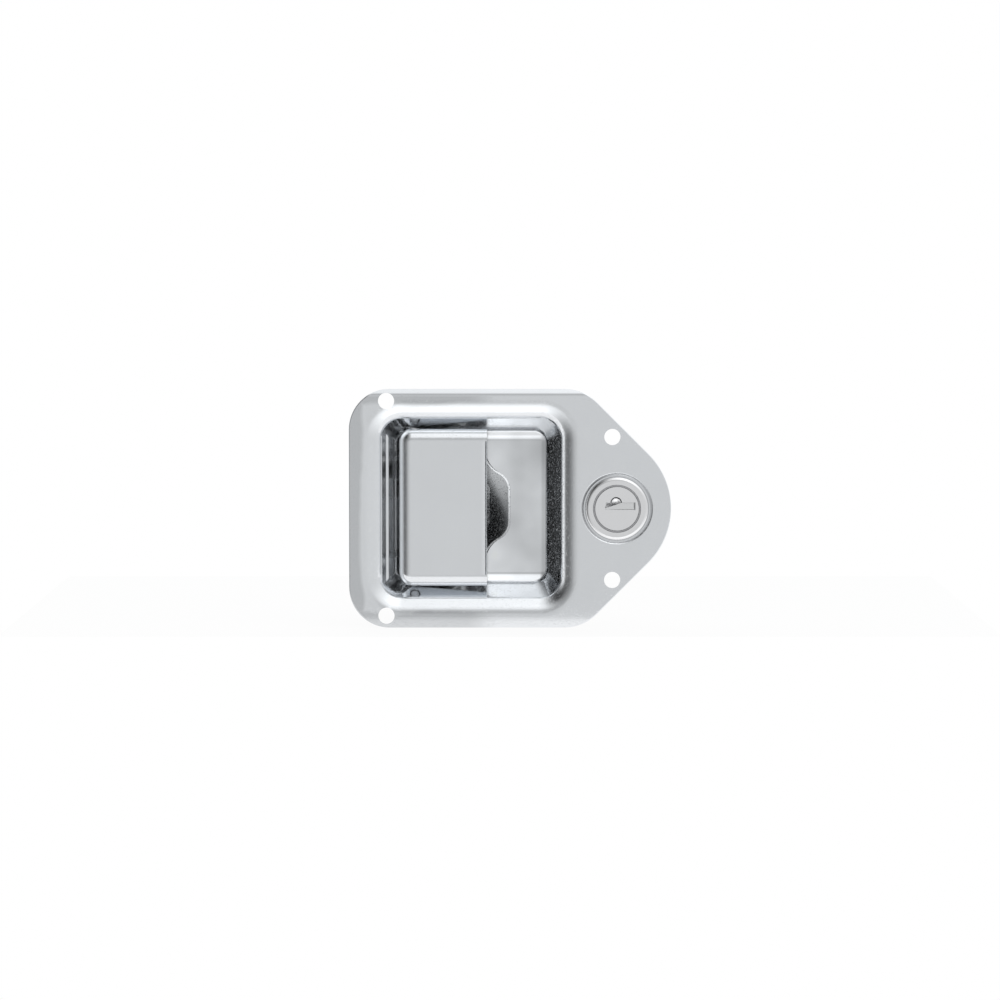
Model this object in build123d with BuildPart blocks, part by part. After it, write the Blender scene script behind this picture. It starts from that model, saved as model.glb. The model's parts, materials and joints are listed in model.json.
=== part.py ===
from build123d import *
import os
from math import atan2, cos, radians, sin, sqrt, tan

os.makedirs("parts", exist_ok=True)

# A flush paddle latch with a key lock, as fixed in an upright door.
# X runs from the hinge end to the lock, Y from the front of the door to its back, and Z up.
# The origin is at the centre of the pan, on the back face of the face plate.

# Face plate
sheet = 1.5
hinge_margin = 4.57
side_margin = 3.72
nose_margin = 6.3
plate_corner = 14.0
shoulder_radius = 16.0
nose_radius = 26.8
edge_break = 0.4

# Screw holes, in one pair by the hinge and one by the lock
screw_hole_radius = 2.8
hinge_pair_inset = 12.9
hinge_pair_edge = 4.15
lock_pair_offset = 1.6
lock_pair_spacing = 49.4

# Drawn pan with a dished mouth
pan_size = 62.0
pan_depth = 13.0
pan_corner = 7.0
dish_angle = 48.0
dish_depth = 3.2
lip_radius = 8.2
mouth_radius = 1.6
wall_draft = 27.0
floor_corner = 4.5
floor_radius = 2.2

# Pocket under the paddle, and the finger scoop that ramps down into it
pocket_gap = 10.0
pocket_lap = 0.3
pocket_side_gap = 8.2
pocket_depth = 5.0
pocket_corner = 2.4
pocket_floor_radius = 2.2
scoop_reach = 8.4
scoop_foot_height = 20.0
scoop_flat = 11.0
scoop_radius = 7.0
scoop_run = 7.5
scoop_draw = 4.5

# Paddle
paddle_gap = 6.0
paddle_side_gap = 3.7
finger_gap = 25.5
paddle_recess = 2.0
paddle_corner = 4.6
rim_radius = 4.2
free_edge_radius = 2.0
free_edge_depth = 3.0
free_end_depth = 5.5
hinge_lip_depth = 4.5
swing_angle = 30.0

# Hinge
hinge_set_in = 5.5
hinge_y = 5.3
pin_radius = 1.75
ear_radius = 3.0
bracket_side_gap = 4.3
bracket_foot = 14.0
bracket_foot_gap = 3.5
bracket_ear_radius = 3.0
bend_radius = 1.0
spacer_wall = 0.6
spacer_gap = 0.9

# Trip arm
arm_thickness = 2.5
arm_width = 6.0
arm_foot = 12.5
arm_low = 9.0
arm_gap = 4.0
arm_reach = 30.0
arm_bend = 3.0

# Rod lever and its stud
lever_thickness = 2.5
lever_z = -4.0
lever_gap = 2.0
hub_radius = 7.0
finger_width = 6.0
finger_reach = 20.0
rod_offset = 18.0
rod_hole_radius = 3.25
rod_pad_radius = 6.0
stop_offset = 32.0
stop_radius = 4.0
lever_angle = 40.5
stud_radius = 3.0
collar_radius = 5.0
stud_head = 1.2
rivet_radius = 1.6
rivet_head_radius = 2.4
rivet_head = 1.1
rivet_offset = 7.5

# Springs
hinge_wire = 0.9
hinge_turns = 5
hinge_leg_back = 5.3
hinge_leg_front = 2.0
lever_wire = 1.0
lever_turns = 3
lever_leg_rise = 3.0
hook_height = 11.0
coil_spread = 1.1
leg_hole_z = -16.0

# Retainer on the stud
washer_thickness = 0.6
washer_radius = 6.0
clip_thickness = 0.7
clip_radius = 5.0
groove_depth = 0.8
stud_tip = 1.0

# Lock cylinder
lock_gap = 0.37
seat_radius = 12.4
seat_depth = 0.5
seat_slope = 60.0
bezel_radius = 11.1
bezel_height = 1.7
bezel_round = 1.5
barrel_radius = 9.4
barrel_flats = 16.0
lock_length = 22.6
plug_head_radius = 8.2
plug_head = 1.2
plug_chamfer = 0.7
plug_radius = 6.5
keyway_left = -4.1
keyway_right = 5.9
keyway_low = -0.3
keyway_height = 2.4
keyway_depth = 15.9
ward_radius = 2.2
ward_lift = 1.0
ward_x = -0.3
shutter_thickness = 0.4
shutter_set_back = 0.65
shutter_angle = 80.0
trunnion_radius = 0.2
trunnion_length = 0.25
shutter_toe = 0.3
shutter_shoulder = 1.4
wafer_count = 5
wafer_thickness = 1.0
wafer_pitch = 2.4
first_wafer = 1.5
wafer_height = 5.6
wafer_bite = 0.5
nut_across_flats = 22.0
nut_thickness = 3.5
lock_washer_thickness = 0.8
lock_washer_radius = 11.5
lock_washer_teeth = 12
tooth_gap = 2.0

# Cam
cam_thickness = 2.5
cam_reach = 26.2
cam_hub_radius = 8.0
cam_tip_radius = 5.0
shank_size = 8.0
screw_radius = 2.0
screw_length = 9.0
screw_head_radius = 3.8
screw_head = 2.4
slot_width = 1.0
cam_washer_radius = 5.5

# Clearances
running = 0.05
free = 0.1
slack = 0.3
slot_slack = 0.7

# Places worked out from the sizes above
plate_front = -sheet
pan_half = pan_size / 2
steep = radians(dish_angle)
dish_run = dish_depth / tan(steep)
lean = radians(wall_draft)
floor_half = pan_half - (pan_depth - dish_depth) * tan(lean)
lip_outside = pan_half + dish_run + lip_radius * tan(steep / 2)
plate_left = -lip_outside - hinge_margin
lock_x = lip_outside + lock_gap + seat_radius
plate_right = lock_x + seat_radius + nose_margin
half_height = lip_outside + side_margin
nose_apex = plate_right + nose_radius * (sqrt(2) - 1)
shoulder_x = nose_apex - half_height
hinge_pair_x = plate_left + hinge_pair_inset
hinge_pair_spacing = 2 * (half_height - hinge_pair_edge)
lock_pair_x = lock_x - lock_pair_offset
floor_front = plate_front + pan_depth
floor_back = floor_front + sheet
paddle_left = paddle_gap - pan_half
paddle_right = pan_half - finger_gap
paddle_length = paddle_right - paddle_left
paddle_height = pan_size - 2 * paddle_side_gap
paddle_front = plate_front + paddle_recess
paddle_under = paddle_front + sheet
pocket_left = pocket_gap - pan_half
pocket_right = paddle_right - pocket_lap
pocket_height = pan_size - 2 * pocket_side_gap
pocket_front = floor_front + pocket_depth
pocket_back = pocket_front + sheet
hinge_x = paddle_left + hinge_set_in
bracket_left = hinge_x + bracket_foot_gap
bracket_right = bracket_left + bracket_foot
bracket_width = pocket_height - 2 * bracket_side_gap
ear_back = hinge_y + ear_radius
base_front = pocket_front - sheet
arm_left = hinge_x + arm_gap
arm_right = arm_left + arm_thickness
lever_x = arm_right + slack
lever_front = pocket_back + lever_gap
lever_back = lever_front + lever_thickness
coil_back = lever_back + slack + (1 + lever_turns * coil_spread) * lever_wire
lever_coil_radius = stud_radius + slack + lever_wire / 2
washer_front = coil_back + slack
clip_front = washer_front + washer_thickness + free
lock_seat = plate_front + seat_depth
bezel_front = lock_seat - bezel_height
barrel_back = bezel_front + lock_length
cam_front = barrel_back + 2 * free
cam_back = cam_front + cam_thickness
nut_front = lock_seat + sheet + lock_washer_thickness
shutter_y = bezel_front + shutter_set_back
shutter_z = keyway_low + free + trunnion_radius


def across(y):
    """The upright plane at depth y, seen from the front, with X to the right and Z up."""
    return Plane.XZ.offset(-y)


def axis_through(x, z):
    """A line from front to back through x and z."""
    return Axis((x, 0, z), (0, 1, 0))


def write(piece, name):
    """Label a finished piece and write its STEP file."""
    piece.part.label = name
    export_step(piece.part, f"parts/{name}.step")


def turned(profile, x, z):
    """A turned piece about the front-to-back line at x and z, from points of radius and depth."""
    with BuildPart() as piece:
        with BuildSketch(Plane.XY.offset(z)):
            with BuildLine():
                Polyline(*[(x + radius, y) for radius, y in profile], close=True)
            make_face()
        revolve(axis=axis_through(x, z))
    return piece


def wire_form(path, radius):
    """Round wire along a path, in one piece."""
    with BuildPart() as piece:
        with BuildSketch(Plane(origin=path @ 0, z_dir=path % 0)):
            Circle(radius)
        sweep(path=path)
    return piece


def plate_outline():
    """A rectangle that runs out to a blunt nose at the lock end."""
    with BuildSketch() as outline:
        with BuildLine():
            Polyline(
                (plate_left, half_height),
                (shoulder_x, half_height),
                (nose_apex, 0),
                (shoulder_x, -half_height),
                (plate_left, -half_height),
                close=True,
            )
        make_face()
        fillet(outline.vertices().group_by(Axis.X)[-1], radius=nose_radius)
        fillet(outline.vertices().group_by(Axis.X)[-2], radius=shoulder_radius)
        fillet(outline.vertices().group_by(Axis.X)[0], radius=plate_corner)
    return outline.sketch


def scoop_outline(grow):
    """The scoop's mouth, grown by so much: two S-curves from under the paddle to a blunt end."""
    radius = scoop_radius + grow
    front_x = paddle_right + scoop_reach + grow
    foot = (pocket_right - free + grow, scoop_foot_height)
    reach = front_x - foot[0]
    rise = scoop_foot_height - scoop_flat / 2
    both_radii = (reach**2 + rise**2) / (2 * reach)
    turn = atan2(rise, both_radii - reach)
    blend = (front_x - radius + radius * cos(turn), scoop_flat / 2 + radius * sin(turn))
    with BuildSketch() as outline:
        with BuildLine():
            front = Line((front_x, 0), (front_x, scoop_flat / 2))
            shoulder = TangentArc(front @ 1, blend, tangent=front % 1)
            TangentArc(shoulder @ 1, foot, tangent=shoulder % 1)
            Polyline(foot, (pocket_left + scoop_run, foot[1]), (pocket_left + scoop_run, 0))
            mirror(about=Plane.XZ)
        make_face()
    return outline.sketch


def pressed_form(start, grow):
    """The pan and its pocket as one solid: the hollow itself, or with grow the back of the sheet."""
    quarter = radians(90)
    turn = (quarter - steep + lean) / 2
    bend = grow / cos((quarter - steep - lean) / 2)
    outer = pan_half + dish_run + grow * tan(steep / 2)
    inner = pan_half + bend * cos(turn)
    bottom = floor_half + grow * tan((quarter - lean) / 2)
    wall_start = plate_front + dish_depth + bend * sin(turn)
    with BuildPart() as form:
        with BuildSketch(across(start)):
            RectangleRounded(2 * outer, 2 * outer, pan_corner + outer - pan_half)
        with BuildSketch(across(wall_start)):
            RectangleRounded(2 * inner, 2 * inner, pan_corner + inner - pan_half)
        loft(ruled=True)
        with BuildSketch(across(wall_start)):
            RectangleRounded(2 * inner, 2 * inner, pan_corner + inner - pan_half)
        with BuildSketch(across(floor_front + grow)):
            RectangleRounded(2 * bottom, 2 * bottom, floor_corner + bottom - floor_half)
        loft(ruled=True)
        fillet(form.edges().group_by(Axis.Y)[-1], radius=floor_radius + grow)
        if grow < mouth_radius:
            mouth = form.edges().filter_by_position(Axis.Y, wall_start, wall_start)
            fillet(mouth, radius=mouth_radius)
        with BuildSketch(across(floor_front + grow)):
            with Locations((pocket_left - grow, 0)):
                Rectangle(pocket_right - pocket_left + 2 * grow, pocket_height + 2 * grow,
                          align=(Align.MIN, Align.CENTER))
            fillet(vertices(), radius=pocket_corner + grow)
        extrude(amount=-pocket_depth)
        fillet(form.edges().group_by(Axis.Y)[-1], radius=pocket_floor_radius + grow)
        mitre = grow * tan(atan2(pocket_depth, scoop_run) / 2)
        with BuildSketch(across(floor_front + grow)):
            add(scoop_outline(mitre))
        with BuildSketch(across(pocket_front + grow)):
            with Locations((scoop_draw - scoop_run, 0)):
                add(scoop_outline(mitre - scoop_draw))
        loft(ruled=True)
    return form.part


def arm_slot():
    """The trip arm's slot in a sketch: from its rest to where it leans at full swing."""
    swing = radians(swing_angle)
    lead = (arm_right - hinge_x) / cos(swing) + (pocket_back - hinge_y) * (sin(swing) / cos(swing))
    left = arm_left - slot_slack
    right = hinge_x + lead + slot_slack
    middle = arm_low + arm_width / 2
    with Locations(((left + right) / 2, middle)):
        Rectangle(right - left, arm_width + 2 * slot_slack)


def floor_holes():
    """The holes that the hinge bracket shares with the pan's floor: arm slot, stud and rivets."""
    arm_slot()
    with Locations((lever_x, lever_z)):
        Circle(stud_radius + running)
    with Locations(*[(lever_x, lever_z + side * rivet_offset) for side in (-1, 1)]):
        Circle(rivet_radius + running)


def double_d(radius, flats):
    """A circle with two flats, above and below."""
    Circle(radius)
    Rectangle(2 * radius, flats, mode=Mode.INTERSECT)


# Pan: face plate, drawn pan, finger pocket and lock seat in one stamping
with BuildPart() as pan:
    with BuildSketch(across(plate_front)):
        add(plate_outline())
    extrude(amount=-sheet)
    fillet(pan.edges().group_by(Axis.Y)[0], radius=edge_break)
    add(pressed_form(0, sheet))
    root = pan.edges().filter_by_position(Axis.Y, -free, free)
    fillet([e for e in root if abs(e.center().X) < lip_outside and abs(e.center().Z) < lip_outside],
           radius=lip_radius - sheet)
    add(pressed_form(plate_front, 0), mode=Mode.SUBTRACT)
    lip = pan.edges().group_by(Axis.Y)[0]
    fillet([e for e in lip if abs(e.center().X) < lip_outside and abs(e.center().Z) < lip_outside],
           radius=lip_radius)
    with BuildSketch(across(0)):
        with Locations((lock_x, 0)):
            Circle(seat_radius + sheet / 2)
    extrude(amount=-seat_depth, taper=seat_slope)
    with BuildSketch(across(plate_front)):
        with Locations((lock_x, 0)):
            Circle(seat_radius)
    extrude(amount=-seat_depth, taper=seat_slope, mode=Mode.SUBTRACT)
    seat_edge = pan.edges().filter_by(GeomType.CIRCLE).group_by(Axis.Y)[0]
    fillet(seat_edge.filter_by(lambda e: abs(e.radius - seat_radius) < free), radius=edge_break)
    with BuildSketch(across(plate_front)):
        with Locations((lock_x, 0)):
            double_d(barrel_radius + free, barrel_flats + 2 * free)
        with Locations((hinge_pair_x, 0)):
            with GridLocations(0, hinge_pair_spacing, 1, 2):
                Circle(screw_hole_radius)
        with Locations((lock_pair_x, 0)):
            with GridLocations(0, lock_pair_spacing, 1, 2):
                Circle(screw_hole_radius)
    extrude(amount=-2 * sheet, mode=Mode.SUBTRACT)
    with BuildSketch(across(pocket_front)):
        floor_holes()
        with Locations((lever_x + lever_coil_radius, leg_hole_z)):
            Circle(lever_wire / 2 + free)
    extrude(amount=-sheet, mode=Mode.SUBTRACT)
write(pan, "pan")

# Hinge bracket: a U of sheet with two ears for the pin, riveted under the paddle
with BuildPart() as hinge_bracket:
    with BuildSketch():
        with BuildLine():
            CenterArc((hinge_x, hinge_y), bracket_ear_radius, 0, 360)
            Line((bracket_left, pocket_front), (bracket_right, pocket_front))
        make_hull()
    extrude(amount=bracket_width / 2, both=True)
    inside = bracket_width / 2 - sheet
    with BuildSketch():
        with Locations((hinge_x, base_front)):
            Rectangle(2 * pan_size, 2 * pan_size, align=(Align.CENTER, Align.MAX))
    extrude(amount=inside, both=True, mode=Mode.SUBTRACT)
    along = hinge_bracket.edges().filter_by(Axis.X)
    fillet(along.filter_by(lambda e: abs(e.center().Y - base_front) < free), radius=bend_radius)
    fillet(along.filter_by(lambda e: abs(e.center().Y - pocket_front) < free), radius=bend_radius + sheet)
    with BuildSketch():
        with Locations((hinge_x, hinge_y)):
            Circle(pin_radius + running)
    extrude(amount=bracket_width, both=True, mode=Mode.SUBTRACT)
    with BuildSketch(across(base_front)):
        floor_holes()
    extrude(amount=-sheet, mode=Mode.SUBTRACT)
write(hinge_bracket, "hinge_bracket")

# Paddle: one stamping, turned down all round, with ears for the pin
with BuildPart() as paddle:
    with BuildSketch(across(paddle_front)):
        with Locations(((paddle_left + paddle_right) / 2, 0)):
            Rectangle(paddle_length, paddle_height)
        fillet(vertices().group_by(Axis.X)[0], radius=paddle_corner)
    extrude(amount=paddle_front - ear_back)
    front_edges = paddle.edges().group_by(Axis.Y)[0]
    fillet(front_edges.sort_by(Axis.X)[:-1], radius=rim_radius)
    offset(amount=-sheet, openings=paddle.faces().sort_by(Axis.Y)[-1])
    with BuildSketch():
        with BuildLine():
            CenterArc((hinge_x, hinge_y), ear_radius, 0, 360)
            Line((paddle_left, paddle_front), (paddle_left, paddle_front + hinge_lip_depth))
            Line((paddle_right, paddle_front), (paddle_right, paddle_front + free_end_depth))
        make_hull()
    extrude(amount=paddle_height, both=True, mode=Mode.INTERSECT)
    with BuildSketch():
        with Locations((paddle_right, paddle_front)):
            Rectangle(2 * free_edge_radius, 2 * free_edge_radius)
        with Locations((paddle_right - free_edge_radius, paddle_front + free_edge_radius)):
            Circle(free_edge_radius, mode=Mode.SUBTRACT)
        with Locations((paddle_right - free_edge_radius, paddle_front)):
            Rectangle(free_edge_radius, 2 * free_edge_radius, align=(Align.MAX, Align.CENTER),
                      mode=Mode.SUBTRACT)
        with Locations((paddle_right, paddle_front + free_edge_radius)):
            Rectangle(2 * free_edge_radius, free_edge_radius, align=(Align.CENTER, Align.MIN),
                      mode=Mode.SUBTRACT)
        with Locations((paddle_right, paddle_front + free_edge_depth)):
            Rectangle(2 * sheet + free, ear_back, align=(Align.CENTER, Align.MIN))
    extrude(amount=paddle_height / 2 - rim_radius, both=True, mode=Mode.SUBTRACT)
    with BuildSketch():
        with Locations((hinge_x, hinge_y)):
            Circle(pin_radius + running)
    extrude(amount=paddle_height, both=True, mode=Mode.SUBTRACT)
write(paddle, "paddle")

# Trip arm: a strip welded under the paddle, bent back through the pan's floor
with BuildPart() as trip_arm:
    with BuildSketch(Plane.XY.offset(arm_low)):
        with BuildLine():
            Polyline(
                (arm_left, paddle_under),
                (arm_left + arm_foot, paddle_under),
                (arm_left + arm_foot, paddle_under + arm_thickness),
                (arm_right, paddle_under + arm_thickness),
                (arm_right, arm_reach),
                (arm_left, arm_reach),
                close=True,
            )
        make_face()
        corner = vertices().sort_by_distance((arm_right, paddle_under + arm_thickness))[0]
        fillet(corner, radius=arm_bend - arm_thickness)
        corner = vertices().sort_by_distance((arm_left, paddle_under))[0]
        fillet(corner, radius=arm_bend)
    extrude(amount=arm_width)
    fillet(trip_arm.edges().filter_by(Axis.X).group_by(Axis.Y)[-1], radius=arm_width / 3)
write(trip_arm, "trip_arm")

# Hinge pin, held by the paddle's ears and turning in the bracket
with BuildPart() as hinge_pin:
    with Locations((hinge_x, hinge_y, 0)):
        Cylinder(pin_radius, paddle_height - 2 * free)
    chamfer(hinge_pin.edges(), length=edge_break)
write(hinge_pin, "hinge_pin")

# Spacers that keep the paddle central on the bracket
with BuildPart() as pivot_spacers:
    gap_low = bracket_width / 2
    gap_high = paddle_height / 2 - sheet
    for side in (-1, 1):
        with Locations((hinge_x, hinge_y, side * (gap_low + gap_high) / 2)):
            Cylinder(pin_radius + running + spacer_wall, gap_high - gap_low - 2 * spacer_gap)
    with Locations((hinge_x, hinge_y, 0)):
        Cylinder(pin_radius + running, paddle_height, mode=Mode.SUBTRACT)
write(pivot_spacers, "pivot_spacers")

# Return spring on the hinge pin, one leg under the paddle and one on the pan's floor
coil_radius = pin_radius + slack + hinge_wire / 2
coil_height = hinge_turns * hinge_wire * coil_spread
coil_low = arm_low - slack - hinge_wire - coil_height
hinge_coil = Pos(hinge_x, hinge_y, coil_low) * Rot(0, 0, 180) * Helix(
    coil_height / hinge_turns, coil_height, coil_radius
)
with BuildLine() as spring_path:
    Line(hinge_coil @ 0 - hinge_coil % 0 * hinge_leg_back, hinge_coil @ 0)
    add(hinge_coil)
    Line(hinge_coil @ 1, hinge_coil @ 1 + hinge_coil % 1 * hinge_leg_front)
paddle_spring = wire_form(spring_path.wire(), hinge_wire / 2)
write(paddle_spring, "paddle_spring")

# Stud: riveted through the bracket and the pan, with the lever turning on its shoulder
stud_end = clip_front + clip_thickness + free + stud_tip
lever_stud = turned(
    [
        (0, base_front - stud_head),
        (collar_radius, base_front - stud_head),
        (collar_radius, base_front),
        (stud_radius, base_front),
        (stud_radius, pocket_back),
        (collar_radius, pocket_back),
        (collar_radius, lever_front - free),
        (stud_radius, lever_front - free),
        (stud_radius, clip_front - free),
        (stud_radius - groove_depth, clip_front - free),
        (stud_radius - groove_depth, clip_front + clip_thickness + free),
        (stud_radius, clip_front + clip_thickness + free),
        (stud_radius, stud_end),
        (0, stud_end),
    ],
    lever_x,
    lever_z,
)
write(lever_stud, "lever_stud")

# Two rivets beside the stud
with BuildPart() as bracket_rivets:
    for side in (-1, 1):
        add(
            turned(
                [
                    (0, base_front - rivet_head),
                    (rivet_head_radius / 2, base_front - rivet_head),
                    (rivet_head_radius, base_front),
                    (rivet_radius, base_front),
                    (rivet_radius, pocket_back),
                    (rivet_head_radius, pocket_back),
                    (rivet_head_radius / 2, pocket_back + rivet_head),
                    (0, pocket_back + rivet_head),
                ],
                lever_x,
                lever_z + side * rivet_offset,
            ).part
        )
write(bracket_rivets, "bracket_rivets")

# Rod lever: a finger for the trip arm, an eye for each rod, and a tail beside the lock cam
with BuildPart() as rod_lever:
    with BuildSketch(across(lever_front)):
        with Locations((lever_x, lever_z)):
            Circle(hub_radius)
            with Locations((finger_width / 2, finger_reach / 2)):
                Rectangle(finger_width, finger_reach)
            for side in (-1, 1):
                with Locations((side * rod_offset, 0)):
                    Circle(rod_pad_radius)
            with Locations((stop_offset, 0)):
                Circle(stop_radius)
            Rectangle(2 * rod_offset, 2 * stop_radius)
            Rectangle(stop_offset, 2 * stop_radius, align=(Align.MIN, Align.CENTER))
        tips = vertices().group_by(Axis.Y)[-1]
        fillet(tips, radius=finger_width / 3)
        with Locations((lever_x, lever_z)):
            Circle(stud_radius + running, mode=Mode.SUBTRACT)
            with GridLocations(2 * rod_offset, 0, 2, 1):
                Circle(rod_hole_radius, mode=Mode.SUBTRACT)
    extrude(amount=-lever_thickness)
write(rod_lever, "rod_lever")

# Lever spring behind the lever, one leg over the finger and one in a hole of the pan
lever_coil_height = lever_turns * lever_wire * coil_spread
lever_coil = Pos(lever_x, lever_back + slack + lever_wire / 2 + lever_coil_height, lever_z) * Rot(
    90, 0, 0
) * Helix(lever_coil_height / lever_turns, lever_coil_height, lever_coil_radius)
fixed_leg = lever_coil @ 0
moving_leg = lever_coil @ 1
fixed_knee = fixed_leg + lever_coil % 0 * ((leg_hole_z - lever_z) / (lever_coil % 0).Z)
moving_knee = moving_leg + lever_coil % 1 * lever_leg_rise
hook = Vector(lever_x + finger_width + lever_wire / 2 + slack, moving_knee.Y, lever_z + hook_height)
with BuildLine() as spring_path:
    FilletPolyline(
        (fixed_knee.X, pocket_front, leg_hole_z),
        fixed_knee,
        fixed_leg,
        radius=lever_wire,
    )
    add(lever_coil)
    FilletPolyline(
        moving_leg,
        moving_knee,
        hook,
        (hook.X, lever_front, hook.Z),
        radius=lever_wire,
    )
lever_spring = wire_form(spring_path.wire(), lever_wire / 2)
write(lever_spring, "lever_spring")

# Washer and spring clip that keep the lever on its stud
with BuildPart() as lever_washer:
    with BuildSketch(across(washer_front)):
        with Locations((lever_x, lever_z)):
            Circle(washer_radius)
            Circle(stud_radius + free, mode=Mode.SUBTRACT)
    extrude(amount=-washer_thickness)
write(lever_washer, "lever_washer")

with BuildPart() as lever_clip:
    with BuildSketch(across(clip_front)):
        with Locations((lever_x, lever_z)):
            Circle(clip_radius)
            Circle(stud_radius - groove_depth + running, mode=Mode.SUBTRACT)
            Rectangle(2 * (stud_radius - groove_depth), 2 * clip_radius,
                      align=(Align.CENTER, Align.MAX), mode=Mode.SUBTRACT)
    extrude(amount=-clip_thickness)
write(lever_clip, "lever_clip")

# Lock body: bezel, barrel with two flats, and the plug's bore
with BuildPart() as lock_body:
    add(
        turned(
            [
                (plug_head_radius + running, bezel_front),
                (bezel_radius, bezel_front),
                (bezel_radius, lock_seat),
                (barrel_radius, lock_seat),
                (barrel_radius, barrel_back),
                (plug_radius + running, barrel_back),
                (plug_radius + running, bezel_front + plug_head + running),
                (plug_head_radius + running, bezel_front + plug_head + running),
            ],
            lock_x,
            0,
        ).part
    )
    fillet(lock_body.edges().group_by(Axis.Y)[0].sort_by(lambda e: e.radius)[-1], radius=bezel_round)
    with BuildSketch(across(lock_seat)):
        with Locations((lock_x, 0)):
            Rectangle(4 * barrel_radius, 4 * barrel_radius)
            Rectangle(4 * barrel_radius, barrel_flats, mode=Mode.SUBTRACT)
    extrude(amount=-lock_length, mode=Mode.SUBTRACT)
write(lock_body, "lock_body")

# Toothed washer and hexagon nut that clamp the lock body to the plate
with BuildPart() as lock_washer:
    with BuildSketch(across(lock_seat + sheet)):
        with Locations((lock_x, 0)):
            Circle(lock_washer_radius)
            Circle(barrel_radius + free, mode=Mode.SUBTRACT)
            with PolarLocations(lock_washer_radius, lock_washer_teeth):
                Rectangle(tooth_gap, tooth_gap, mode=Mode.SUBTRACT)
    extrude(amount=-lock_washer_thickness)
write(lock_washer, "lock_washer")

with BuildPart() as lock_nut:
    with BuildSketch(across(nut_front)):
        with Locations((lock_x, 0)):
            RegularPolygon(nut_across_flats / 2, 6, major_radius=False)
            Circle(barrel_radius + free, mode=Mode.SUBTRACT)
    extrude(amount=-nut_thickness)
write(lock_nut, "lock_nut")

# Keyway and wafers share these places, measured from the lock's centre line
keyway_middle = lock_x + (keyway_left + keyway_right) / 2
keyway_width = keyway_right - keyway_left
keyway_high = keyway_low + keyway_height
keyway_centre = keyway_low + keyway_height / 2
wafer_fronts = [first_wafer + number * wafer_pitch for number in range(wafer_count)]

# Plug: head, barrel with keyway and wafer slots, and a square shank for the cam
with BuildPart() as lock_plug:
    add(
        turned(
            [
                (0, bezel_front),
                (plug_head_radius - plug_chamfer, bezel_front),
                (plug_head_radius, bezel_front + plug_chamfer),
                (plug_head_radius, bezel_front + plug_head),
                (plug_radius, bezel_front + plug_head),
                (plug_radius, barrel_back),
                (0, barrel_back),
            ],
            lock_x,
            0,
        ).part
    )
    with BuildSketch(across(barrel_back)):
        with Locations((lock_x, 0)):
            Rectangle(shank_size, shank_size)
            Circle(plug_radius, mode=Mode.INTERSECT)
    extrude(amount=-(cam_back - barrel_back - free))
    with BuildSketch(across(bezel_front)):
        with Locations((keyway_middle, keyway_centre)):
            Rectangle(keyway_width, keyway_height)
    extrude(amount=-keyway_depth, mode=Mode.SUBTRACT)
    with Locations((lock_x + ward_x, bezel_front - ward_lift, keyway_high)):
        Sphere(ward_radius, mode=Mode.SUBTRACT)
    for wafer_front in wafer_fronts:
        with BuildSketch(across(wafer_front - free)):
            with Locations((lock_x, keyway_centre)):
                Rectangle(4 * plug_radius, wafer_height + 2 * free)
        extrude(amount=-(wafer_thickness + 2 * free), mode=Mode.SUBTRACT)
    with Locations((keyway_middle, shutter_y, shutter_z)):
        Cylinder(trunnion_radius + running, keyway_width + 2 * (trunnion_length + running),
                 rotation=(0, 90, 0), mode=Mode.SUBTRACT)
    with BuildSketch(across(cam_back - free)):
        with Locations((lock_x, 0)):
            Circle(screw_radius + running)
    extrude(amount=screw_length, mode=Mode.SUBTRACT)
write(lock_plug, "lock_plug")

# Wafers, flush in the plug as the key holds them
for number, wafer_front in enumerate(wafer_fronts, start=1):
    with BuildPart() as wafer:
        with BuildSketch(across(wafer_front)):
            with Locations((lock_x, 0)):
                Circle(plug_radius - free)
            with Locations((lock_x, keyway_centre)):
                Rectangle(4 * plug_radius, wafer_height, mode=Mode.INTERSECT)
            with Locations((keyway_middle, keyway_centre)):
                Rectangle(keyway_width - 2 * wafer_bite, keyway_height, mode=Mode.SUBTRACT)
        extrude(amount=-wafer_thickness)
    write(wafer, f"wafer_{number}")

# Keyway shutter: a sprung flap on two trunnions along the keyway's lower edge
with BuildPart() as keyway_shutter:
    low = keyway_low + free
    high = keyway_high - free
    left = lock_x + keyway_left + free
    right = lock_x + keyway_right - free
    with BuildSketch(across(shutter_y - shutter_thickness / 2)):
        with BuildLine():
            Polyline(
                (left, low),
                (right, low),
                (right, high),
                (lock_x + shutter_shoulder, high),
                (left, low + shutter_toe),
                close=True,
            )
        make_face()
    extrude(amount=-shutter_thickness)
    with Locations((keyway_middle, shutter_y, shutter_z)):
        Cylinder(trunnion_radius, keyway_width + 2 * trunnion_length, rotation=(0, 90, 0))
write(keyway_shutter, "keyway_shutter")

# Cam: a flat bar on the plug's square shank, towards the lever when the latch is locked
with BuildPart() as lock_cam:
    with BuildSketch(across(cam_front)):
        with Locations((lock_x, 0)):
            Circle(cam_hub_radius)
        with Locations((lock_x + cam_tip_radius - cam_reach, 0)):
            Circle(cam_tip_radius)
        with Locations((lock_x, 0)):
            Rectangle(cam_reach - cam_tip_radius, 2 * cam_tip_radius, align=(Align.MAX, Align.CENTER))
            Rectangle(shank_size + 2 * running, shank_size + 2 * running, mode=Mode.SUBTRACT)
    extrude(amount=-cam_thickness)
write(lock_cam, "lock_cam")

# Washer and screw that hold the cam
with BuildPart() as cam_washer:
    with BuildSketch(across(cam_back)):
        with Locations((lock_x, 0)):
            Circle(cam_washer_radius)
            Circle(screw_radius + free, mode=Mode.SUBTRACT)
    extrude(amount=-washer_thickness)
write(cam_washer, "cam_washer")

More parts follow.
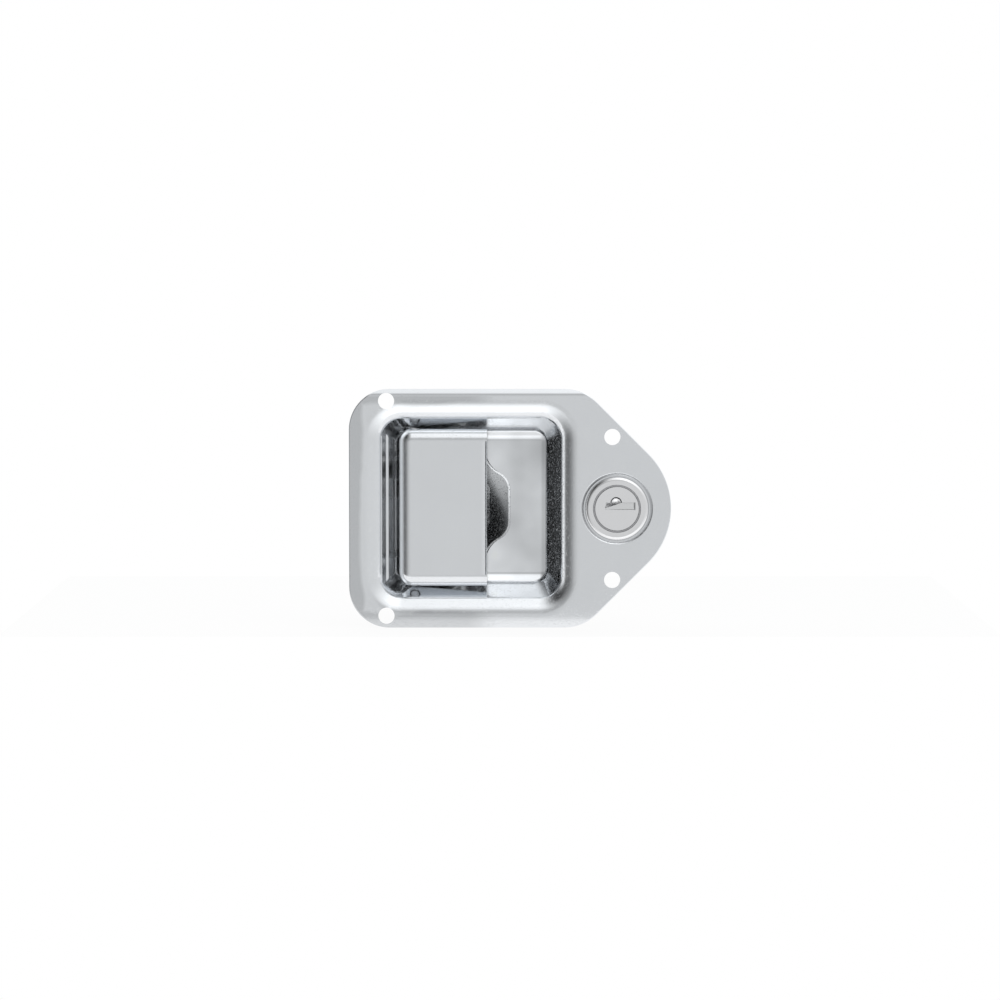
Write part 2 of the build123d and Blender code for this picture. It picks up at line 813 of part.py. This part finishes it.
head_front = cam_back + washer_thickness
with BuildPart() as cam_screw:
    add(
        turned(
            [
                (0, cam_back - screw_length + free),
                (screw_radius, cam_back - screw_length + free),
                (screw_radius, head_front),
                (screw_head_radius, head_front),
                (screw_head_radius, head_front + screw_head / 2),
                (screw_head_radius - screw_head / 2, head_front + screw_head),
                (0, head_front + screw_head),
            ],
            lock_x,
            0,
        ).part
    )
    with BuildSketch(across(head_front + screw_head)):
        with Locations((lock_x, 0)):
            Rectangle(2 * screw_head_radius, slot_width)
    extrude(amount=screw_head / 2, mode=Mode.SUBTRACT)
write(cam_screw, "cam_screw")
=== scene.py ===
import json
import math

import bpy
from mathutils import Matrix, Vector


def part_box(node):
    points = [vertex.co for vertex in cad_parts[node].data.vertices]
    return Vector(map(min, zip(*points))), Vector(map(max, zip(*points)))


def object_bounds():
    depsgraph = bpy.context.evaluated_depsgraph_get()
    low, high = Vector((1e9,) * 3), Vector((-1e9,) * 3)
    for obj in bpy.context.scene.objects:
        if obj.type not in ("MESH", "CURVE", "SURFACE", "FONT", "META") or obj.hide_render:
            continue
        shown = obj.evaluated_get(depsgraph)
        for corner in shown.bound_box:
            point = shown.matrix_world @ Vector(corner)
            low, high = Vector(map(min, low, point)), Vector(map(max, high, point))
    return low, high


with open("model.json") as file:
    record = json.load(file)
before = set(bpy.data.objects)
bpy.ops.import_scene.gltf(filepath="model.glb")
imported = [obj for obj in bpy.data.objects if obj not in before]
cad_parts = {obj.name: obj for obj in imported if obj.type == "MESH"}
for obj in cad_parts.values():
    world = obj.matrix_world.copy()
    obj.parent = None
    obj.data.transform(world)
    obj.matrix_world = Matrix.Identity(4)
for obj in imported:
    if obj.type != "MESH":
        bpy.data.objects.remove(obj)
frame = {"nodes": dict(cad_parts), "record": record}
cad_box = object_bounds()
scene = bpy.context.scene
scene.view_settings.view_transform = "Standard"

# ---------------------------------------------------------------- places on the latch
# All in metres, in the latch's own axes: X from the hinge end to the lock, Y from front to back, Z up.
# A pair is a range: where a soft edge starts, and where it is complete.
plug_low, plug_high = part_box("lock_plug")
lock_x = (plug_low[0] + plug_high[0]) / 2
# Dark rings painted about the lock's line, those in the gap round the plug and at the bezel's foot as painted shade:
# inner radius, outer radius, softness, and the share of the tone that is lost.
lock_shade_rings = {
    "line in the face": (0.0075, 0.0077, 0.00006, 0.55),
    "gap round the plug": (0.0081, 0.0083, 0.00006, 0.35),
    "foot of the bezel": (0.0107, 0.0111, 0.0002, 0.35),
}
# Painted shade at the keyway's right end.
keyway_end_x = ((0.0560, 0.0562), (0.0568, 0.0565))
keyway_end_z = ((-0.0006, -0.0002), (0.0024, 0.0020))
# A ring of painted shade on the pan round the lock's bezel.
crevice_shade_ring = (0.0112, 0.0119, 0.0003)

floor_y = 0.0115
floor_near = (floor_y - 0.0006, floor_y - 0.0002)
floor_far = (floor_y + 0.0003, floor_y + 0.0001)
# How far off the middle the floor starts to rise, and how steep it is at its edge, along X and along Z.
floor_edge = 0.0250
floor_rises = {"x": (0.0236, 0.22), "z": (0.0222, 0.55)}

# The scoop is painted darker as painted shade, most in its hollow, with a painted highlight along its rim.
scoop_near = (floor_y + 0.0001, floor_y + 0.0004)
scoop_far = (floor_y + 0.0052, floor_y + 0.0048)
scoop_left = (0.0035, 0.0045)
scoop_ends = (0.0206, 0.0202)
scoop_rim = (floor_y + 0.0008, floor_y + 0.0005)
hollow_top = (0.0125, -0.007)
hollow_foot = (-0.0165, -0.0120)

wall_start = (0.0, 0.01)
rib_offset = 0.0290
rib_pitch = 0.0023

plate_face = (0.0005, -0.0003)
plate_top = (0.0376, 0.0402)
# A band along the flange at the hinge end, painted darker as painted shade.
shade_band_border_x = 0.0373
shade_band_border_z = 0.0358
shade_band_wave = 0.006
shade_band_edge = (-0.0006, 0.0014)
shade_band_right = (0.010, -0.002)
shade_band_top = (0.0392, 0.0384)

# ---------------------------------------------------------------- masks, leans and tones
# Ranges of the surface's direction along an axis, of the noises, and of the ribs' cosine.
facing_front = (0.0, -0.3)
facing_back = (0.3, 0.7)
steep_wall = (0.78, 0.87)
dark_speck = (0.60, 0.74)
bright_speck = (0.40, 0.26)
pan_speck = (0.54, 0.62)
rib_crest = (-0.2, 0.9)
# Leans are slopes of the shaped skin: to the right and up when above 0.
scoop_lean = -0.02
hollow_lean = -0.34
rim_lean = -0.5
rib_lean = 0.42
top_edge_lean = 0.36
# Tones are shares of the finish's own brightness. Those of the lock-end wall, the scoop, its hollow, the hinge-end
# band and the ring round the lock are painted shade, the rim's is a painted highlight, and the keyway end's loss is
# painted shade. Specks, the hollow and the rim add theirs to the tone that they lie on, and the floor's is added to
# the drift.
lock_wall_shade_tone = 0.10
lock_wall_speck = 0.8
scoop_shade_tone = 0.85
hollow_shade_tone = -0.5
rim_highlight_tone = 0.25
floor_tone = 0.44
shade_band_tone = 0.78
crevice_shade_tone = 0.85
keyway_end_shade = 0.6
# What is added to the roughness: for dark specks a share of it, and for the unpolished back a share of its loss.
line_roughness = 0.2
pan_speck_roughness = 0.5
scoop_roughness = 0.14
hinge_wall_roughness = 0.12
unpolished_roughness = 0.25
dark_speck_roughness = 0.35


# ---------------------------------------------------------------- node helpers
def place(tree, kind, values=None, **settings):
    """A node of that kind in the tree, with its settings and its sockets' own values."""
    node = tree.nodes.new(kind)
    for key, value in settings.items():
        setattr(node, key, value)
    for key, value in (values or {}).items():
        node.inputs[key].default_value = value
    return node


def plug(tree, start, end):
    """A link from one socket to another."""
    tree.links.new(start, end)


def maths(tree, operation, first, second=0.0):
    """The output of a Math node on two sockets or numbers."""
    node = place(tree, "ShaderNodeMath", operation=operation)
    for index, value in enumerate((first, second)):
        if isinstance(value, (int, float)):
            node.inputs[index].default_value = value
        else:
            plug(tree, value, node.inputs[index])
    return node.outputs[0]


def product(tree, first, *others):
    """All the values multiplied."""
    for other in others:
        first = maths(tree, "MULTIPLY", first, other)
    return first


def total(tree, first, *others):
    """All the values added."""
    for other in others:
        first = maths(tree, "ADD", first, other)
    return first


def rest_of(tree, value):
    """One less the value."""
    return maths(tree, "SUBTRACT", 1.0, value)


def ramp(tree, value, edge, ends=(0.0, 1.0)):
    """A smooth step of the value over the edge's range, from the first end to the second."""
    node = place(tree, "ShaderNodeMapRange", interpolation_type="SMOOTHSTEP")
    plug(tree, value, node.inputs["Value"])
    for key, number in zip(("From Min", "From Max", "To Min", "To Max"), (*edge, *ends)):
        node.inputs[key].default_value = number
    return node.outputs["Result"]


def coordinates(tree, vector):
    """A vector's X, Y and Z."""
    apart = place(tree, "ShaderNodeSeparateXYZ")
    plug(tree, vector, apart.inputs[0])
    return [apart.outputs[index] for index in range(3)]


def new_group(name, inputs, outputs):
    """An empty node group with its sockets, its input node and its output node.

    Inputs are (name, kind, default) and outputs (name, kind), with kind as in NodeSocketFloat."""
    group = bpy.data.node_groups.new(name, "ShaderNodeTree")
    for label, kind, default in inputs:
        socket = group.interface.new_socket(label, in_out="INPUT", socket_type="NodeSocket" + kind)
        if default is not None:
            socket.default_value = default
    for label, kind in outputs:
        group.interface.new_socket(label, in_out="OUTPUT", socket_type="NodeSocket" + kind)
    return group, place(group, "NodeGroupInput"), place(group, "NodeGroupOutput")


# ---------------------------------------------------------------- finishes
def zinc_skin_group():
    """Node group: cloudy tone of dipped zinc, bright and dark specks, and the height of its fine grain.

    Tone is 1 + (cloud - 0.5) * Cloud Depth + (bright - dark specks) * Speck Depth. Height is the dark specks less
    the bright ones. Roughness is the finish's own times 1 + dark specks * dark_speck_roughness."""
    group, enter, leave = new_group(
        "zinc_skin",
        (
            ("Vector", "Vector", None),
            ("Cloud Scale", "Float", 60.0),
            ("Cloud Depth", "Float", 0.06),
            ("Speck Scale", "Float", 900.0),
            ("Speck Depth", "Float", 0.1),
            ("Roughness", "Float", 0.2),
        ),
        (("Tone", "Float"), ("Roughness", "Float"), ("Height", "Float")),
    )
    cloud = place(group, "ShaderNodeTexNoise", {"Detail": 3.0, "Roughness": 0.55})
    speck = place(group, "ShaderNodeTexNoise", {"Detail": 2.0, "Roughness": 0.7})
    for noise, scale in ((cloud, "Cloud Scale"), (speck, "Speck Scale")):
        plug(group, enter.outputs["Vector"], noise.inputs["Vector"])
        plug(group, enter.outputs[scale], noise.inputs["Scale"])
    dark = ramp(group, speck.outputs["Fac"], dark_speck)
    bright = ramp(group, speck.outputs["Fac"], bright_speck)
    clouds = product(group, maths(group, "SUBTRACT", cloud.outputs["Fac"], 0.5), enter.outputs["Cloud Depth"])
    specks = product(group, maths(group, "SUBTRACT", bright, dark), enter.outputs["Speck Depth"])
    plug(group, total(group, clouds, specks, 1.0), leave.inputs["Tone"])
    rougher = total(group, product(group, dark, dark_speck_roughness), 1.0)
    plug(group, product(group, enter.outputs["Roughness"], rougher), leave.inputs["Roughness"])
    plug(group, maths(group, "SUBTRACT", dark, bright), leave.inputs["Height"])
    return group


def lock_ring(tree, x, z, inner, outer, soft):
    """A soft ring between two radii, where the radius is the square root of (x - lock_x)² + z². The mask is the
    product of a smooth step up at the inner radius and a smooth step down at the outer one."""
    across = maths(tree, "SUBTRACT", x, lock_x)
    radius = maths(tree, "POWER", total(tree, product(tree, across, across), product(tree, z, z)), 0.5)
    return product(tree, ramp(tree, radius, (inner - soft, inner + soft)),
                   ramp(tree, radius, (outer + soft, outer - soft)))


def lock_painted_shade_group():
    """Node group: dark rings painted on the lock, a line on the plug's face and painted shade in the gap round the
    plug and at the bezel's foot, and painted shade at the keyway's end.

    Vector is the place in metres. Tone is 1 less the sum of each mask times its own loss. Rougher is the mask of
    the line in the face times line_roughness. Normal isn't used."""
    group, enter, leave = new_group(
        "lock_painted_shade",
        (("Vector", "Vector", None), ("Normal", "Vector", None)),
        (("Tone", "Float"), ("Rougher", "Float")),
    )
    x, _, z = coordinates(group, enter.outputs["Vector"])
    # Painted shade: the dark rings and the keyway's end.
    dark = 0.0
    rings = {}
    for name, (inner, outer, soft, loss) in lock_shade_rings.items():
        rings[name] = lock_ring(group, x, z, inner, outer, soft)
        dark = total(group, dark, product(group, rings[name], loss))
    keyway_end = product(group, *[ramp(group, x, edge) for edge in keyway_end_x],
                         *[ramp(group, z, edge) for edge in keyway_end_z])
    dark = total(group, dark, product(group, keyway_end, keyway_end_shade))
    plug(group, rest_of(group, dark), leave.inputs["Tone"])
    plug(group, product(group, rings["line in the face"], line_roughness), leave.inputs["Rougher"])
    return group


def pan_scoop(group, x, y, side_z, front):
    """The masks of the finger scoop, whose darker tone is painted shade, and of the fine line along its rim, whose
    brighter tone is a painted highlight. The scoop's is a product of smooth steps: what faces the front between two
    depths, inside both ends, and from just under the paddle's free edge on. The rim's is one smooth step by depth,
    down to scoop_rim."""
    scoop = product(group, ramp(group, y, scoop_near), front, ramp(group, y, scoop_far),
                    ramp(group, x, scoop_left), ramp(group, side_z, scoop_ends))
    return scoop, ramp(group, y, scoop_rim)


def pan_shade_band(group, x, y, z, side_z, drift, front):
    """The mask of the band of painted shade, a product of smooth steps: what faces the front on the flange's left
    part.
    The step at its inner border is by the greater of -x and side_z, each less its border, plus (drift - 0.5) times
    the band's wave. The band runs out to the plate's edge, but stops short of the top one."""
    wave = product(group, maths(group, "SUBTRACT", drift, 0.5), shade_band_wave)
    border = maths(group, "MAXIMUM", maths(group, "SUBTRACT", product(group, x, -1.0), shade_band_border_x),
                   maths(group, "SUBTRACT", side_z, shade_band_border_z))
    return product(group, ramp(group, total(group, border, wave), shade_band_edge), front, ramp(group, x, shade_band_right),
                   ramp(group, y, plate_face), ramp(group, z, shade_band_top))


def pan_shade_and_shape_group():
    """Node group: how the pressed pan's skin differs from place to place. The wall at the lock end is painted dark
    with bright specks, a painted reflection; a band along the flange at the hinge end and a ring round the lock are
    painted shade; the scoop is painted darker as painted shade, most in its hollow, with a painted highlight on its
    rim. The scoop is dished, the floor rises softly to its walls, the hinge-side wall is ribbed by the draw and the
    plate's top edge rolls back: Shape is the way that such a skin faces, and Shaped where.

    Vector is the place in metres and Normal the way the surface faces, both in the part's own axes. Tone is the
    product of 1 - mask * (1 - painted tone) over the masks. Shape is -Y plus the sum of each mask times its own lean,
    Shaped the greatest of those masks, and Rougher the sum of each mask times what it adds."""
    group, enter, leave = new_group(
        "pan_shade_and_shape",
        (("Vector", "Vector", None), ("Normal", "Vector", None)),
        (("Tone", "Float"), ("Rougher", "Float"), ("Shaped", "Float"), ("Shape", "Vector")),
    )
    x, y, z = coordinates(group, enter.outputs["Vector"])
    side_x, side_z = maths(group, "ABSOLUTE", x), maths(group, "ABSOLUTE", z)
    facing_x, facing_y, _ = coordinates(group, enter.outputs["Normal"])
    front = ramp(group, facing_y, facing_front)
    specks = place(group, "ShaderNodeTexNoise", {"Scale": 1500.0, "Detail": 3.0, "Roughness": 0.7})
    clouds = place(group, "ShaderNodeTexNoise", {"Scale": 45.0, "Detail": 2.0, "Roughness": 0.5})
    for noise in (specks, clouds):
        plug(group, enter.outputs["Vector"], noise.inputs["Vector"])
    bright = ramp(group, specks.outputs["Fac"], pan_speck)
    drift = clouds.outputs["Fac"]

    # The wall at the lock end: painted dark, a painted reflection, with bright specks.
    lock_wall = product(group, ramp(group, facing_x, [-share for share in steep_wall]),
                        ramp(group, x, wall_start))
    hinge_wall = product(group, ramp(group, facing_x, steep_wall),
                         ramp(group, x, [-place_x for place_x in wall_start]))
    ribs = product(group, total(group, x, rib_offset), 2 * math.pi / rib_pitch)
    ribs = product(group, ramp(group, maths(group, "COSINE", ribs), rib_crest), hinge_wall)
    scoop, rim = pan_scoop(group, x, y, side_z, front)
    hollow = product(group, ramp(group, z, hollow_top), ramp(group, z, hollow_foot))
    flat = product(group, ramp(group, y, floor_near), front, ramp(group, y, floor_far))
    top_edge = product(group, ramp(group, z, plate_top), front, ramp(group, y, plate_face))
    shade_band = pan_shade_band(group, x, y, z, side_z, drift, front)
    crevice_shade = lock_ring(group, x, z, *crevice_shade_ring)

    rises = {}
    for axis, along, side in (("x", x, side_x), ("z", z, side_z)):
        start, steepest = floor_rises[axis]
        rises[axis] = product(group, ramp(group, side, (start, floor_edge), (0.0, steepest)), along,
                              -1 / floor_edge)
    dished = total(group, product(group, hollow, hollow_lean), scoop_lean)
    dished = product(group, dished, rest_of(group, rim))
    shape = place(group, "ShaderNodeCombineXYZ", {"Y": -1.0})
    leans_x = ((flat, rises["x"]), (scoop, dished), (ribs, rib_lean))
    leans_z = ((flat, rises["z"]), (scoop, product(group, rim, rim_lean)), (top_edge, top_edge_lean))
    for key, leans in (("X", leans_x), ("Z", leans_z)):
        whole = total(group, 0.0, *[product(group, mask, lean) for mask, lean in leans])
        plug(group, whole, shape.inputs[key])
    plug(group, shape.outputs[0], leave.inputs["Shape"])
    shaped = 0.0
    for mask in (flat, scoop, ribs, top_edge):
        shaped = maths(group, "MAXIMUM", shaped, mask)
    plug(group, shaped, leave.inputs["Shaped"])

    # Painted shade on the lock-end wall, the scoop, its hollow, the hinge-end band and the ring round the lock; a
    # painted highlight on the scoop's rim; a drifting tone on the floor.
    painted_tones = (
        (lock_wall, total(group, product(group, bright, lock_wall_speck), lock_wall_shade_tone)),
        (scoop, total(group, product(group, hollow, hollow_shade_tone), scoop_shade_tone, product(group, rim, rim_highlight_tone))),
        (flat, total(group, drift, floor_tone)),
        (shade_band, shade_band_tone),
        (crevice_shade, crevice_shade_tone),
    )
    tone = 1.0
    for mask, painted in painted_tones:
        tone = product(group, tone, rest_of(group, product(group, rest_of(group, painted), mask)))
    plug(group, tone, leave.inputs["Tone"])
    speckled = product(group, bright, pan_speck_roughness)
    rougher = total(group, product(group, scoop, total(group, speckled, scoop_roughness)),
                    product(group, lock_wall, speckled), product(group, hinge_wall, hinge_wall_roughness))
    plug(group, rougher, leave.inputs["Rougher"])
    return group


zinc_skin = zinc_skin_group()


def metal(name, colour, roughness, cloud=(60.0, 0.06), speck=(1800.0, 0.03), grain_height=0.00001, back=1.0,
          shade_and_shape=None):
    """A metal finish: its colour times the zinc skin's tone, with the skin's roughness and grain. What faces the
    back, out of the polisher's reach, keeps that share of the colour and is rougher by unpolished_roughness times
    the loss. The last argument is a group that gives a further tone, which paints shade and highlights on the part,
    and roughness, and maybe a shape of its own."""
    material = bpy.data.materials.new(name)
    material.use_nodes = True
    tree = material.node_tree
    surface = tree.nodes["Principled BSDF"]
    surface.inputs["Metallic"].default_value = 1.0
    where = place(tree, "ShaderNodeTexCoord")
    skin = place(tree, "ShaderNodeGroup", {
        "Cloud Scale": cloud[0],
        "Cloud Depth": cloud[1],
        "Speck Scale": speck[0],
        "Speck Depth": speck[1],
        "Roughness": roughness,
    }, node_tree=zinc_skin)
    plug(tree, where.outputs["Object"], skin.inputs["Vector"])
    grain = place(tree, "ShaderNodeBump", {"Strength": 1.0, "Distance": grain_height})
    plug(tree, skin.outputs["Height"], grain.inputs["Height"])
    unpolished = ramp(tree, coordinates(tree, where.outputs["Normal"])[1], facing_back)
    tone = product(tree, skin.outputs["Tone"], ramp(tree, unpolished, (0.0, 1.0), (1.0, back)))
    rough = skin.outputs["Roughness"]
    normal = grain.outputs["Normal"]
    if shade_and_shape:
        painted = place(tree, "ShaderNodeGroup", node_tree=shade_and_shape)
        plug(tree, where.outputs["Object"], painted.inputs["Vector"])
        plug(tree, where.outputs["Normal"], painted.inputs["Normal"])
        tone = product(tree, tone, painted.outputs["Tone"])
        rough = total(tree, rough, painted.outputs["Rougher"])
        if "Shape" in painted.outputs:
            turned = place(tree, "ShaderNodeVectorTransform", vector_type="NORMAL", convert_from="OBJECT",
                           convert_to="WORLD")
            plug(tree, painted.outputs["Shape"], turned.inputs[0])
            mix = place(tree, "ShaderNodeMix", data_type="VECTOR")
            plug(tree, painted.outputs["Shaped"], mix.inputs["Factor"])
            plug(tree, normal, mix.inputs["A"])
            plug(tree, turned.outputs[0], mix.inputs["B"])
            normal = mix.outputs["Result"]
    tint = place(tree, "ShaderNodeVectorMath", operation="SCALE")
    tint.inputs[0].default_value = colour
    plug(tree, tone, tint.inputs["Scale"])
    plug(tree, tint.outputs["Vector"], surface.inputs["Base Color"])
    rough = total(tree, product(tree, unpolished, unpolished_roughness * (1 - back)), rough)
    plug(tree, rough, surface.inputs["Roughness"])
    plug(tree, normal, surface.inputs["Normal"])
    return material


sheet_finish = {"colour": (0.872, 0.890, 0.912), "roughness": 0.12, "cloud": (70.0, 0.05), "grain_height": 0.00002,
                "back": 0.5}
finishes = {
    "plated_sheet": metal("plated_sheet", **sheet_finish),
    "plated_steel": metal("plated_steel", (0.50, 0.505, 0.51), 0.3, cloud=(90.0, 0.1)),
    "bright_steel": metal("bright_steel", (0.86, 0.865, 0.87), 0.16),
    "spring_steel": metal("spring_steel", (0.52, 0.52, 0.53), 0.3),
    # The lock's finish carries painted shade in its rings and at the keyway's end.
    "lock_chrome": metal("lock_chrome", (0.92, 0.92, 0.93), 0.08, shade_and_shape=lock_painted_shade_group()),
}
# The pan's finish carries painted shade and a painted highlight.
pan_finish = metal("pan_painted_light", **sheet_finish, shade_and_shape=pan_shade_and_shape_group())
slot_of = {part["node"]: part["material_slot"] for part in frame["record"]["subparts"]}
for name, node in frame["nodes"].items():
    node.data.materials.clear()
    node.data.materials.append(pan_finish if name == "pan" else finishes[slot_of[name]])

# ---------------------------------------------------------------- studio
# Brightness of the studio by the angle in degrees from the line of sight, on each of four sides: an azimuth about
# that line, and (angle, brightness) pairs. Those of the two diagonals between sides give the light they take away.
studio_sides = {
    "left": (180, [(0, .665), (10, .66), (16, .6), (28, .5), (38, .36), (48, .26), (58, .2), (70, .24), (76, .55),
                   (81, 1.25), (95, 1.25), (120, 1.0), (180, 1.0)]),
    "right": (0, [(0, .665), (60, .69), (92, .74), (110, 1.0), (180, 1.0)]),
    "above": (90, [(0, .665), (8, .65), (14, .53), (20, .5), (28, .7), (36, 1.15), (50, 1.4), (85, 1.4),
                   (105, 1.1), (180, 1.0)]),
    "below": (270, [(0, .665), (6, .66), (12, .6), (18, .62), (25, .85), (33, 1.15), (50, 1.4), (85, 1.4),
                    (105, 1.1), (180, 1.0)]),
    "upper left": (135, [(0, 0.0), (12, 0.05), (30, 0.45), (55, 0.93), (85, 0.93), (105, 0.0), (180, 0.0)]),
    "lower left": (225, [(0, 0.0), (25, 0.0), (40, 0.2), (55, 0.3), (80, 0.3), (100, 0.0), (180, 0.0)]),
}
brightest = 2.0
studio_colour = (0.985, 0.995, 1.0, 1)
white = (1, 1, 1, 1)


def by_angle(tree, turn, points):
    """The brightness at a turn from 0 to 1, which stands for 0 to 180 degrees, by straight lines between points."""
    curve = place(tree, "ShaderNodeValToRGB")
    elements = curve.color_ramp.elements
    while len(elements) < len(points):
        elements.new(0.5)
    for element, (degrees, value) in zip(elements, points):
        element.position = degrees / 180
        element.color = (*[value / brightest] * 3, 1)
    plug(tree, turn, curve.inputs[0])
    return product(tree, curve.outputs[0], brightest)


def studio_world():
    """Soft studio light: each side's brightness by angle, weighed by the squared share of the direction on that
    side; the diagonals take their share of light away, by the fourth power of theirs. Cameras see plain white, and
    so do mirrors and glass that look to the back."""
    world = bpy.data.worlds.new("studio")
    world.use_nodes = True
    scene.world = world
    tree = world.node_tree
    tree.nodes.clear()
    where = place(tree, "ShaderNodeTexCoord")
    x, y, z = coordinates(tree, where.outputs["Generated"])
    turn = maths(tree, "DIVIDE", maths(tree, "ARCCOSINE", product(tree, y, -0.99999)), math.pi)
    across = total(tree, product(tree, x, x), product(tree, z, z), 1e-6)
    level = 0.0
    kept = 1.0
    for azimuth, points in studio_sides.values():
        value = by_angle(tree, turn, points)
        along = total(tree, product(tree, x, math.cos(math.radians(azimuth))),
                      product(tree, z, math.sin(math.radians(azimuth))))
        along = maths(tree, "MAXIMUM", along, 0.0)
        share = maths(tree, "DIVIDE", product(tree, along, along), across)
        if azimuth % 90:
            taken = product(tree, maths(tree, "POWER", share, 2.0), value)
            kept = product(tree, kept, rest_of(tree, taken))
        else:
            level = total(tree, product(tree, share, value), level)
    studio = place(tree, "ShaderNodeBackground", {"Color": studio_colour})
    plug(tree, product(tree, level, kept), studio.inputs["Strength"])
    plain = place(tree, "ShaderNodeBackground", {"Color": white, "Strength": 1.0})
    path = place(tree, "ShaderNodeLightPath")
    mirrored = maths(tree, "MAXIMUM", path.outputs["Is Glossy Ray"], path.outputs["Is Transmission Ray"])
    mirrored = product(tree, mirrored, ramp(tree, y, (0.0, 0.15)))
    mix = place(tree, "ShaderNodeMixShader")
    plug(tree, maths(tree, "MAXIMUM", path.outputs["Is Camera Ray"], mirrored), mix.inputs[0])
    plug(tree, studio.outputs[0], mix.inputs[1])
    plug(tree, plain.outputs[0], mix.inputs[2])
    plug(tree, mix.outputs[0], place(tree, "ShaderNodeOutputWorld").inputs[0])


studio_world()


def pale_floor(left, right, near, far, level, shown):
    """A white sheet under the part, clear from below. Cameras and mirrors see that share of plain white and the
    rest as lit."""
    mesh = bpy.data.meshes.new("floor")
    mesh.from_pydata([(left, near, level), (right, near, level), (right, far, level), (left, far, level)], [],
                     [(0, 1, 2, 3)])
    material = bpy.data.materials.new("pale_floor")
    material.use_nodes = True
    tree = material.node_tree
    tree.nodes.clear()
    lit = place(tree, "ShaderNodeBsdfDiffuse", {"Color": (0.96, 0.96, 0.96, 1)})
    plain = place(tree, "ShaderNodeEmission", {"Strength": 1.0})
    clear = place(tree, "ShaderNodeBsdfTransparent")
    path = place(tree, "ShaderNodeLightPath")
    side = place(tree, "ShaderNodeNewGeometry")
    seen = path.outputs["Is Camera Ray"]
    for kind in ("Is Glossy Ray", "Is Transmission Ray"):
        seen = maths(tree, "MAXIMUM", seen, path.outputs[kind])
    mix = place(tree, "ShaderNodeMixShader")
    sheet = place(tree, "ShaderNodeMixShader")
    plug(tree, product(tree, seen, shown), mix.inputs[0])
    plug(tree, lit.outputs[0], mix.inputs[1])
    plug(tree, plain.outputs[0], mix.inputs[2])
    plug(tree, side.outputs["Backfacing"], sheet.inputs[0])
    plug(tree, mix.outputs[0], sheet.inputs[1])
    plug(tree, clear.outputs[0], sheet.inputs[2])
    plug(tree, sheet.outputs[0], place(tree, "ShaderNodeOutputMaterial").inputs[0])
    mesh.materials.append(material)
    floor = bpy.data.objects.new("floor", mesh)
    scene.collection.objects.link(floor)


pale_floor(left=-0.16, right=0.18, near=-0.032, far=0.2, level=cad_box[0][2], shown=0.92)

# ---------------------------------------------------------------- camera
camera_distance = 1.4
camera_rise = math.radians(4.0)
aim_x, aim_z = 0.0100, 0.00286
view_width = 0.345

camera_data = bpy.data.cameras.new("camera")
camera = bpy.data.objects.new("camera", camera_data)
scene.collection.objects.link(camera)
camera_data.sensor_width = 36.0
camera_data.lens = camera_data.sensor_width * camera_distance / view_width
camera.location = (aim_x, -camera_distance * math.cos(camera_rise), aim_z + camera_distance * math.sin(camera_rise))
camera.rotation_euler = (math.radians(90) - camera_rise, 0, 0)
scene.camera = camera
